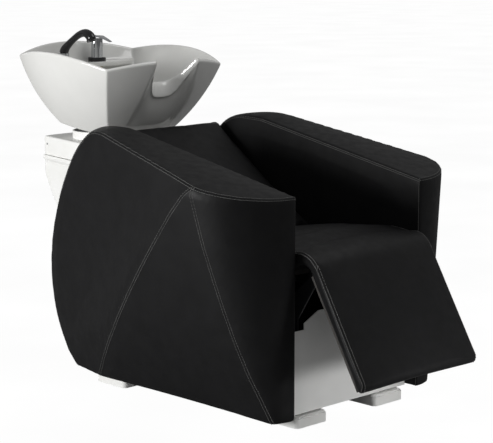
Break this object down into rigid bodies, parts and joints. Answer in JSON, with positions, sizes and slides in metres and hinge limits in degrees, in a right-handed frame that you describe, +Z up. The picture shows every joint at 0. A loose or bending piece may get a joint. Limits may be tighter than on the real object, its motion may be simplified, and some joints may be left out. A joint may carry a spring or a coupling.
{
  "type": "hair washing bed",
  "caption": "salon backwash chair with flared padded arms, a lifting leg rest and a tilting ceramic basin with mixer tap and hand shower on a column behind the backrest",
  "frame": {"origin": "centre of the footprint's bounding box, on the floor under the feet", "axes": "X across the chair to the sitter's left seen from the front, Y from the leg rest back to the basin, Z up"},
  "size_m": [0.9616, 1.5443, 1.056],
  "materials": {
    "leather": "matt synthetic leather over foam",
    "plywood": "birch plywood stained black",
    "black_steel": "satin powder coat",
    "white_paint": "satin powder coat on sheet steel",
    "white_plastic": "gloss moulded plastic",
    "ceramic": "white gloss glaze",
    "rubber": "moulded rubber",
    "zinc": "zinc plated steel",
    "chrome": "polished chrome plate",
    "brass": "raw turned brass",
    "black_plastic": "matt moulded plastic",
    "bush_plastic": "plain bearing plastic"
  },
  "bodies": {
    "chair": {"arm_left": "leather", "arm_right": "leather", "arm_board_left": "plywood", "arm_board_right": "plywood", "foot_front_right": "white_plastic", "foot_rear_right": "white_plastic", "foot_front_left": "white_plastic", "foot_rear_left": "white_plastic", "foot_pads": "rubber", "chassis": "black_steel", "seat_board": "plywood", "backrest_board": "plywood", "side_plate_right": "black_steel", "side_plate_left": "black_steel", "front_panel": "white_paint", "seat_cushion": "leather", "backrest_cushion": "leather", "back_shell": "leather", "hinge_rod": "zinc", "mast": "black_steel", "column_cover_upper": "white_plastic", "cover_screws": "zinc", "column_cover_lower": "white_plastic", "collar": "white_plastic", "tilt_support": "black_steel", "tilt_axle": "zinc"},
    "legrest": {"legrest_pad": "leather", "legrest_board": "plywood", "legrest_frame": "black_steel", "legrest_screws": "zinc", "hinge_bushes": "bush_plastic"},
    "basin": {"basin_cradle": "black_steel", "basin_bowl": "ceramic", "waste_strainer": "chrome", "waste_pipe": "chrome", "waste_nut": "black_plastic", "mixer_ring": "black_plastic", "mixer_body": "chrome", "tap_nuts": "brass", "shower_sleeve": "chrome"},
    "mixer": {"mixer_cap": "chrome", "lever_pin": "zinc"},
    "lever": {"mixer_lever": "chrome"},
    "shower": {"shower_handle": "chrome", "spray_face": "black_plastic"}
  },
  "joints": [
    {"name": "legrest_lift", "type": "hinge", "parent": "chair", "child": "legrest", "pos_m": [0, -0.5369, 0.433], "axis": [-1, 0, 0], "range_deg": [0, 50]},
    {"name": "basin_tilt", "type": "hinge", "parent": "chair", "child": "basin", "pos_m": [0, 0.5406, 0.738], "axis": [-1, 0, 0], "range_deg": [-4, 10]},
    {"name": "mixer_turn", "type": "hinge", "parent": "basin", "child": "mixer", "pos_m": [0.07, 0.6846, 1.01], "axis": [0, 0, 1], "range_deg": [-45, 45]},
    {"name": "mixer_lift", "type": "hinge", "parent": "mixer", "child": "lever", "pos_m": [0.07, 0.6996, 1.023], "axis": [-1, 0, 0], "range_deg": [0, 22]},
    {"name": "shower_lift", "type": "slide", "parent": "basin", "child": "shower", "axis": [0, 0, 1], "range_m": [0, 0.018]}
  ]
}
